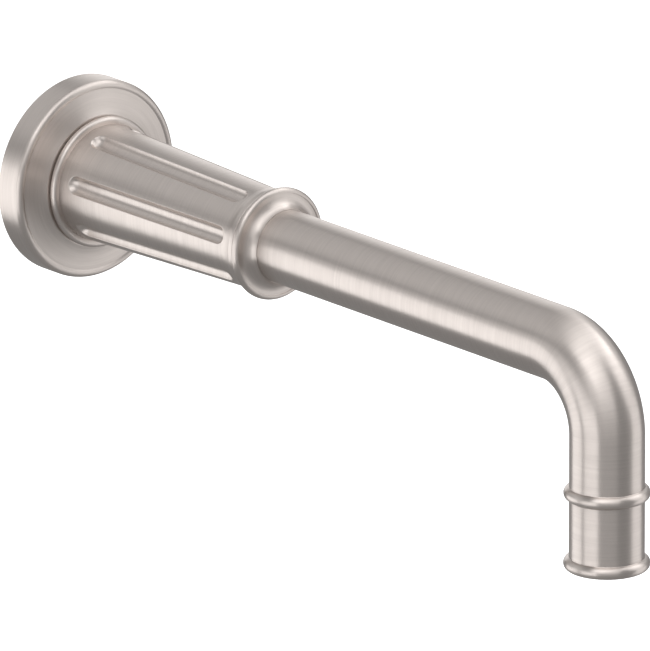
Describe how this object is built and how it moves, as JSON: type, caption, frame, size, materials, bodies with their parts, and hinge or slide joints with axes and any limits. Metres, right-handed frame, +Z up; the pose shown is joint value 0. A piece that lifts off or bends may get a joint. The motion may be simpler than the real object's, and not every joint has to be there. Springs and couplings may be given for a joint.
{
  "type": "wall mounted bath spout",
  "caption": "Wall mounted bath spout: a round wall flange, a tapered fluted barrel with a turned collar, and a round tube bent down to a ringed outlet with a flow straightener.",
  "frame": {"origin": "on the inlet's axis in the plane of the wall, at the mouth of the inlet thread", "axes": "+Z up, +Y into the wall, so the spout reaches out along -Y and pours along -Z; +X to the right of a person facing the wall"},
  "size_m": [0.069, 0.2914, 0.1069],
  "materials": {
    "brushed_nickel": "satin nickel plate over brass, brushed along the lathe's turns",
    "raw_brass": "machined, unplated",
    "screw_steel": "plain stainless steel",
    "steel_mesh": "woven stainless wire",
    "black_rubber": "smooth moulded rubber",
    "black_foam": "closed cell foam, matt",
    "white_plastic": "natural acetal, matt",
    "grey_plastic": "moulded, fine texture"
  },
  "bodies": {
    "spout": {"fluted_barrel": "brushed_nickel", "inlet_adapter": "raw_brass", "adapter_o_rings": "black_rubber", "adapter_washer": "white_plastic", "retaining_nut": "raw_brass", "tube_ferrule": "raw_brass", "tube_o_rings": "black_rubber", "collar": "brushed_nickel", "collar_o_ring": "black_rubber", "spout_tube": "brushed_nickel", "bead_ring": "brushed_nickel", "outlet_lip": "brushed_nickel", "outlet_bush": "raw_brass", "escutcheon_o_ring": "black_rubber"},
    "gasket": {"escutcheon_gasket": "black_foam"},
    "flange": {"escutcheon": "brushed_nickel"},
    "screw_pad": {"set_screw_pad": "white_plastic"},
    "screw": {"set_screw": "screw_steel"},
    "cartridge_washer": {"flow_washer": "black_rubber"},
    "cartridge": {"flow_housing": "grey_plastic", "flow_honeycomb": "white_plastic", "flow_spacer": "white_plastic", "flow_screens": "steel_mesh", "flow_diffuser": "grey_plastic"}
  },
  "joints": [
    {"name": "flange_slide", "type": "slide", "parent": "spout", "child": "gasket", "axis": [0, 1, 0], "range_m": [0, 0.003]},
    {"name": "flange_turn", "type": "hinge", "parent": "gasket", "child": "flange", "pos_m": [0, 0, 0], "axis": [0, 1, 0], "continuous": true},
    {"name": "set_screw_travel", "type": "slide", "parent": "spout", "child": "screw_pad", "axis": [0, 0, -1], "range_m": [0, 0.0032]},
    {"name": "set_screw_turn", "type": "hinge", "parent": "screw_pad", "child": "screw", "pos_m": [0, -0.024, -0.015], "axis": [0, 0, -1], "range_deg": [0, 1440]},
    {"name": "cartridge_travel", "type": "slide", "parent": "spout", "child": "cartridge_washer", "axis": [0, 0, -1], "range_m": [0, 0.006]},
    {"name": "cartridge_turn", "type": "hinge", "parent": "cartridge_washer", "child": "cartridge", "pos_m": [0, -0.2768, -0.065], "axis": [0, 0, -1], "range_deg": [0, 2160]}
  ],
  "couplings": [
    {"joint": "set_screw_turn", "follows": "set_screw_travel", "rad_per_m": 7854},
    {"joint": "cartridge_travel", "follows": "cartridge_turn", "m_per_rad": 0.00015915}
  ]
}
